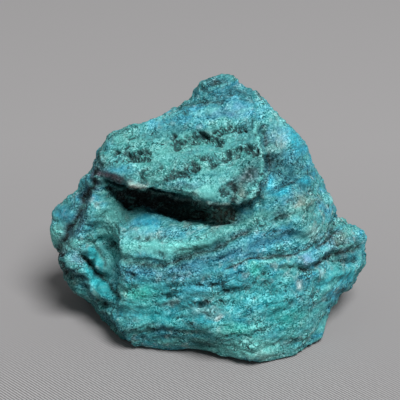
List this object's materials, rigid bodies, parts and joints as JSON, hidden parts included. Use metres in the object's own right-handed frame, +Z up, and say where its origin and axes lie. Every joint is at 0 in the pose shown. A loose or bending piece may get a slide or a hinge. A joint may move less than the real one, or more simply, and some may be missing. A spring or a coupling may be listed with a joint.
{
  "type": "chrysocolla specimen",
  "caption": "Rough hand specimen of turquoise-blue chrysocolla: one broken lump with a leaning upper slab over a deep recess, standing on a flat fracture.",
  "frame": {"origin": "middle of the bounding box seen from above, on the surface the stone rests on", "axes": "+X across the stone, to the right as seen from its display side; -Y towards the display side; +Z up"},
  "size_m": [0.0934, 0.062, 0.075],
  "materials": {
    "stone": "matt granular fracture with fine glints"
  },
  "bodies": {
    "root": {"chrysocolla_stone": "stone"}
  },
  "joints": []
}
